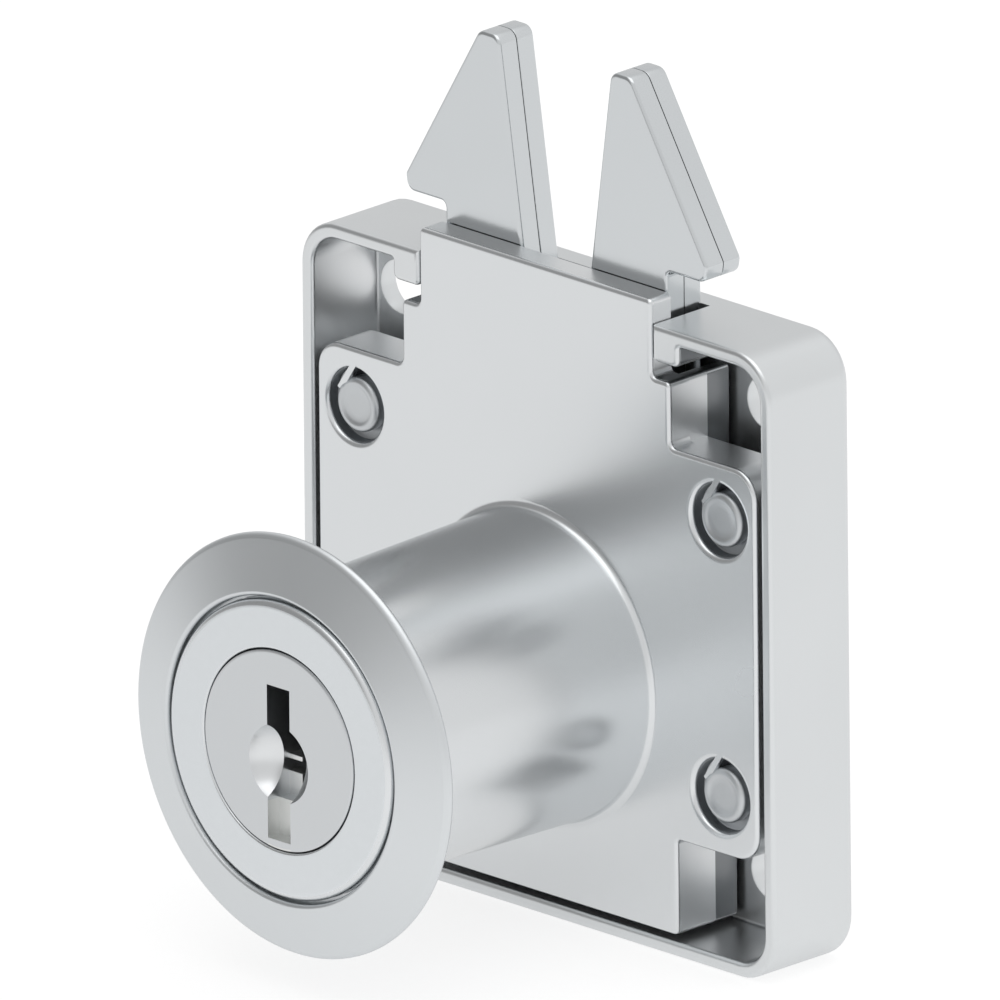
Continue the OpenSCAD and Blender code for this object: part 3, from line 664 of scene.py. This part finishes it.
def make_plug():
    """Turned core; its face has the keyway and the dimple that the keyway cuts through."""
    shell = Shell()
    y0, y1, y2 = face_y, WEB_Y - PLUG_GAP, plug_high[1] - 1
    r = plug_high[0]
    cut = np.sqrt(DIMPLE_R**2 - KEY_X**2)
    low, high = KEY_Z - KEY_HALF, KEY_Z + KEY_HALF
    foot = low + KEY_FOOT
    angle = np.degrees(np.arctan2(cut, KEY_X))
    n = 24
    right = arc(DIMPLE_R, -angle, angle, n, 0, KEY_Z)
    left = arc(DIMPLE_R, 180 - angle, 180 + angle, n, 0, KEY_Z)
    mouth = np.concatenate([[[KEY_X, low], [KEY_X, foot]], right, [[KEY_X, high], [-KEY_X, high]],
                            left, [[-KEY_X, foot], [-KEY_X, low]]])
    turned = shell.lathe([[r - PLUG_EDGE - GUARD, y0], [r - PLUG_EDGE, y0],
                          [r - 0.05, y0 + 0.05], [r, y0 + PLUG_EDGE], [r, y1],
                          [JOURNAL_R, y1], [JOURNAL_R, y2], [0, y2]], 160)
    hole = shell.ring(mouth[::-1], y0)
    shell.cap([turned[0], hole])
    # bowl on each side of the slot: from the slot's edge out to the dimple's rim
    for side, rim in ((1, right), (-1, left[::-1])):
        t = np.linspace(0, 1, 14)[:, None]
        x = side*KEY_X*(1 - t) + rim[:, 0]*t
        z = np.broadcast_to(rim[:, 1], x.shape)
        y = y0 + dimple_depth(x, z)
        shell.bands([shell.add(np.stack([a, b, c], 1)) for a, b, c in zip(x, y, z)],
                    closed=False, flip=side > 0)
    # slot walls, which start at the face or at the bowl; the slot's foot is only shallow
    up = np.concatenate([[foot], right[:, 1], [high]])
    start = y0 + dimple_depth(KEY_X, up)
    start[[0, -1]] = y0
    step, end = y0 + KEY_FOOT_T, y0 + KEY_DEEP
    for side in (1, -1):
        for z, depths in ((up, [start, np.maximum(start, step), end]),
                          (np.array([low, foot]), [y0, step])):
            shell.bands([shell.add(np.stack([side*KEY_X + 0*z, y + 0*z, z], 1)) for y in depths],
                        closed=False, flip=side > 0)
    for z, depths, flip in ((low, [y0, step], False), (foot, [step, end], False),
                            (high, [y0, step, end], True)):
        shell.bands([shell.add(np.array([[-KEY_X, y, z], [KEY_X, y, z]])) for y in depths],
                    closed=False, flip=flip)
    for z, y in ((np.array([low, foot]), step), (up, end)):
        across = np.concatenate([KEY_X + 0*z, -KEY_X + 0*z])
        shell.cap([shell.ring(np.stack([across, np.concatenate([z, z[::-1]])], 1), y)])
    behind_face = y0 + SLACK/10
    # painted light in the dimple's bowl
    shell.coat(bowl_painted_light, lambda at, n: behind_face < at[1] < y0 + DIMPLE_T
               and abs(at[0]) > KEY_X + SLACK and np.hypot(at[0], at[2] - KEY_Z) < DIMPLE_R)
    # painted light, with more roughness, on the walls of the keyway's shallow foot
    shell.coat(keyway_painted_light, lambda at, n: behind_face < at[1] < step + SLACK
               and abs(at[0]) < KEY_X + SLACK and at[2] < foot + SLACK)
    shell.piece("plug_core", "plug", plug_plate, ["plug"], sharp=25)


def make_first_wafer():
    """The wafer that shows in the keyway: a plate with a window, whose lower edge is stepped."""
    low, high = corners("wafer_1")
    half, r = high[0], high[2]
    side = np.degrees(np.arccos(half/r))
    outline = np.concatenate([
        arc(r, side, 180 - side, 20), arc(r, 180 + side, 360 - side, 20),
        [[half, NOTCH_LOW], [NOTCH_X, NOTCH_LOW], [NOTCH_X, NOTCH_TOP], [half, NOTCH_TOP]]])
    window = rounded([
        [WINDOW_X, WINDOW_TOP, 0.4], [WINDOW_X, WINDOW_LOW, 0.3],
        [STEP_X, WINDOW_LOW, 0.3], [STEP_X, SLIT_LOW, 0.05],
        [-WINDOW_X, SLIT_LOW, 0.2], [-WINDOW_X, BAR_LOW, 0.1],
        [STEP_X, BAR_LOW, 0.05], [STEP_X, BAR_TOP, 0.05],
        [-WINDOW_X, BAR_TOP, 0.1], [-WINDOW_X, WINDOW_TOP, 0.4]], 5)
    shell = Shell()
    shell.slab(outline, low[1], high[1], PLY_EDGE, PLY_EDGE, [window])
    shell.piece("wafer_1_plate", "plug", wafer_brass, ["wafer_1"])


# Claws

claw_top = claw_high[2]


def edge_x(z):
    """Inner edge of the right claw at height z: upright once the claw has swung shut."""
    reach = PIVOT_X - CLOSED_GAP/2
    return PIVOT_X - (reach - (z - PIVOT_Z)*np.sin(SWING))/np.cos(SWING)


def claw_outline():
    """Outline of the right claw, clockwise from its tip."""
    barb_z = case_top + BARB_RISE
    tip_x = edge_x(claw_top) + TIP_W
    barb_top = claw_top - (BARB_X - tip_x)/np.tan(BARB_SLOPE)
    return rounded([
        [edge_x(claw_top), claw_top, 0.7], [tip_x, claw_top, 0.8],
        [BARB_X, barb_top, 0.45], [BARB_X - BARB_CUT, barb_z, 0.7],
        [STEM_X, barb_z, 0.4], [STEM_X, PIVOT_Z + STEM_RISE, 1],
        [PIVOT_X + EYE_X, PIVOT_Z + EYE_RISE, 1.5], [PIVOT_X + HIP_X, PIVOT_Z - HIP_DROP, 2],
        [CAM_MIN + CLAW_TAIL_W + 0.2, CLAW_TAIL_BEND, 2],
        [CAM_MIN + CLAW_TAIL_W, CLAW_TAIL_LOW, 1.2],
        [CAM_MIN, CLAW_TAIL_LOW, 1], [CAM_MIN, CLAW_TAIL_TOP, 0.6],
        [PIVOT_X - FORK_X, FORK_Z, 1], [edge_x(FORK_STEP) + 1, FORK_STEP, 0.4],
        [edge_x(FORK_EDGE), FORK_EDGE, 0.3]], 8)


def make_claws():
    """Each claw is two plates face to face, with softly rounded outer edges."""
    outline = claw_outline()[::-1]
    for s, side in ((1, "right"), (-1, "left")):
        loop = outline if s > 0 else (outline*[-1, 1])[::-1]
        hole = circle(PIVOT_R + PIVOT_GAP, s*PIVOT_X, PIVOT_Z, 48)[::-1]
        for part, low, high, front, back in (
                ("front", claw_low, claw_high, CLAW_EDGE, PLY_EDGE),
                ("back", claw_back_low, claw_back_high, PLY_EDGE, CLAW_EDGE)):
            shell = Shell()
            shell.slab(loop, low[1], high[1], front, back, [hole])
            piece = shell.piece(f"claw_{side}_{part}_plate", f"claw_{side}", claw_plate,
                                [f"claw_{side}_{part}"])


def make_spreader_spring():
    """Helix of round wire along X: a circle carried round the axis at constant pitch."""
    low, high = corners("spreader_spring")
    wire, turns, steps, sides = 0.32, 9, 24, 10
    r = (high[2] - low[2] - wire)/2
    axis_y, axis_z = (low[1] + high[1])/2, (low[2] + high[2])/2
    t = np.linspace(0, turns*TURN, turns*steps + 1)[:, None]
    a = np.arange(sides)[None]/sides*TURN
    radius = r + wire/2*np.cos(a)
    x = low[0] + wire/2 + (high[0] - low[0] - wire)*t/(turns*TURN) + wire/2*np.sin(a)
    grid = np.stack([x, axis_y + radius*np.cos(t), axis_z + radius*np.sin(t)], 2)
    shell = Shell()
    rings = shell.bands([shell.add(ring) for ring in grid])
    shell.faces += [rings[0].tolist(), rings[-1][::-1].tolist()]
    piece = shell.piece("spreader_coil", "lock_case", spring_steel, ["spreader_spring"])
    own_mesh(piece)


make_case()
make_casting()
make_rosette()
make_case_rivets()
make_plug()
make_first_wafer()
make_claws()
make_spreader_spring()

for names, material in (([f"wafer_{k}" for k in range(2, 6)], wafer_brass),
                        (["wafer_springs"], spring_steel),
                        (["pivot_pins", "cam", "cam_screw"], dark_steel),
                        (["claw_left_rivets", "claw_right_rivets"], rivet_plate)):
    for name in names:
        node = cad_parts[name]
        node.data.materials.clear()
        node.data.materials.append(material)


# Floor, light and camera. Lengths are in metres from here on, levels are linear.

TABLE_SIZE = 3.0
TABLE_BASE = 0.32
TABLE_SEEN = 0.78
# how bright metal sees the table: left of the first x and right of the second, with a little
# more round a place before the lock, in full within the first distance
TABLE_LEFT, TABLE_RIGHT = 0.36, 0.63
TABLE_X = (-0.5, -0.05)
NEAR_LEVEL = 0.08
NEAR_PLACE = (0.05, -0.05)
NEAR_REACH = (0.02, 0.08)

ROOM = 0.76
# patches of the room: level, direction, and the cosines where each begins and is full
PATCHES = ((0.90, (0, 0, 1), 0.45, 0.95),
           (0.71, (-0.67, 0.67, 0.33), 0.7, 0.97),
           (0.84, (0.65, 0.67, 0.38), 0.8, 0.97),
           (0.50, (-0.97, -0.20, 0.12), 0.80, 0.98),
           (0.32, (-0.68, -0.68, 0.27), 0.48, 0.92))
LAMP_PLACE, LAMP_SIZE, LAMP_POWER = (0.15, -0.1, 0.9), 0.9, 1.5


def make_floor():
    """Pale table under the lock; it shows near white and keeps a soft shadow."""
    size = TABLE_SIZE
    mesh = bpy.data.meshes.new("table")
    z = case_bot*MM
    mesh.from_pydata([(-size, -size, z), (size, -size, z), (size, size, z), (-size, size, z)],
                     [], [(0, 1, 2, 3)])
    table = bpy.data.objects.new("table", mesh)
    bpy.context.scene.collection.objects.link(table)
    material = bpy.data.materials.new("table white")
    material.use_nodes = True
    nodes, links = material.node_tree.nodes, material.node_tree.links
    shader = nodes["Principled BSDF"]
    shader.inputs["Base Color"].default_value = (TABLE_BASE, TABLE_BASE, TABLE_BASE, 1)
    shader.inputs["Roughness"].default_value = 0.9
    shader.inputs["Specular IOR Level"].default_value = 0
    path = nodes.new("ShaderNodeLightPath")
    mirrored = math_node(nodes, links, "MAXIMUM", path.outputs["Is Glossy Ray"],
                         path.outputs["Is Transmission Ray"])
    seen = math_node(nodes, links, "MULTIPLY", path.outputs["Is Camera Ray"], TABLE_SEEN)
    place = nodes.new("ShaderNodeTexCoord")
    side = nodes.new("ShaderNodeSeparateXYZ")
    links.new(place.outputs["Object"], side.inputs[0])
    level = ramp(nodes, links, side.outputs["X"], *TABLE_X, TABLE_LEFT, TABLE_RIGHT)
    away = nodes.new("ShaderNodeVectorMath")
    away.operation = "DISTANCE"
    links.new(place.outputs["Object"], away.inputs[0])
    away.inputs[1].default_value = (*NEAR_PLACE, case_bot*MM)
    near = ramp(nodes, links, away.outputs["Value"], *NEAR_REACH, NEAR_LEVEL, 0.0)
    both = math_node(nodes, links, "ADD", level, near)
    glow = math_node(nodes, links, "MULTIPLY_ADD", mirrored, both, seen)
    shader.inputs["Emission Color"].default_value = (1, 1, 1, 1)
    links.new(glow, shader.inputs["Emission Strength"])
    mesh.materials.append(material)


def make_world():
    """Studio room: pale all round, bright overhead, dim to the left in front."""
    world = bpy.data.worlds.new("studio")
    bpy.context.scene.world = world
    world.use_nodes = True
    nodes, links = world.node_tree.nodes, world.node_tree.links
    back = nodes["Background"]
    back.inputs["Color"].default_value = (1, 1, 1, 1)
    where = nodes.new("ShaderNodeTexCoord")

    def lobe(direction, low, high):
        """Smooth patch round a direction, 0 below the low cosine and 1 above the high one."""
        dot = nodes.new("ShaderNodeVectorMath")
        dot.operation = "DOT_PRODUCT"
        links.new(where.outputs["Generated"], dot.inputs[0])
        dot.inputs[1].default_value = direction
        return ramp(nodes, links, dot.outputs["Value"], low, high)

    def blend(a, b, factor):
        mix = nodes.new("ShaderNodeMix")
        mix.data_type = "FLOAT"
        links.new(factor, mix.inputs["Factor"])
        for slot, value in ((mix.inputs["A"], a), (mix.inputs["B"], b)):
            if isinstance(value, float):
                slot.default_value = value
            else:
                links.new(value, slot)
        return mix.outputs["Result"]

    level = ROOM
    for value, direction, low, high in PATCHES:
        level = blend(level, value, lobe(direction, low, high))
    links.new(level, back.inputs["Strength"])


def area_light(name, place, target, size, power):
    """Soft square lamp at a place, turned towards the target."""
    lamp = bpy.data.lights.new(name, "AREA")
    lamp.size = size
    lamp.energy = power
    holder = bpy.data.objects.new(name, lamp)
    bpy.context.scene.collection.objects.link(holder)
    holder.location = place
    aim = Vector(target) - Vector(place)
    holder.rotation_euler = aim.to_track_quat("-Z", "Y").to_euler()


def make_camera():
    """Parallel view from 45 degrees to the right and 19 above, turned a little."""
    azimuth, height, roll = np.radians([45.044, 19.074, -0.5185])
    px_per_mm, picture, distance = 16.56, 1000, 600
    centre_px = np.array([537.92, 663.80])
    back = np.array([np.sin(azimuth)*np.cos(height), -np.cos(azimuth)*np.cos(height),
                     np.sin(height)])
    right = np.array([np.cos(azimuth), np.sin(azimuth), 0])
    up = np.cross(back, right)
    across = right*np.cos(roll) + up*np.sin(roll)
    upward = up*np.cos(roll) - right*np.sin(roll)
    offset = (picture/2 - centre_px)/px_per_mm
    place = offset[0]*across - offset[1]*upward + distance*back
    data = bpy.data.cameras.new("camera")
    data.type = "ORTHO"
    data.ortho_scale = picture/px_per_mm*MM
    data.clip_end = 10
    camera = bpy.data.objects.new("camera", data)
    bpy.context.scene.collection.objects.link(camera)
    matrix = np.eye(4)
    matrix[:3, 0], matrix[:3, 1], matrix[:3, 2], matrix[:3, 3] = across, upward, back, place*MM
    camera.matrix_world = Matrix(matrix.tolist())
    bpy.context.scene.camera = camera


make_floor()
make_world()
area_light("overhead", LAMP_PLACE, (0, 0, 0), LAMP_SIZE, LAMP_POWER)
make_camera()
bpy.context.scene.view_settings.view_transform = "Standard"
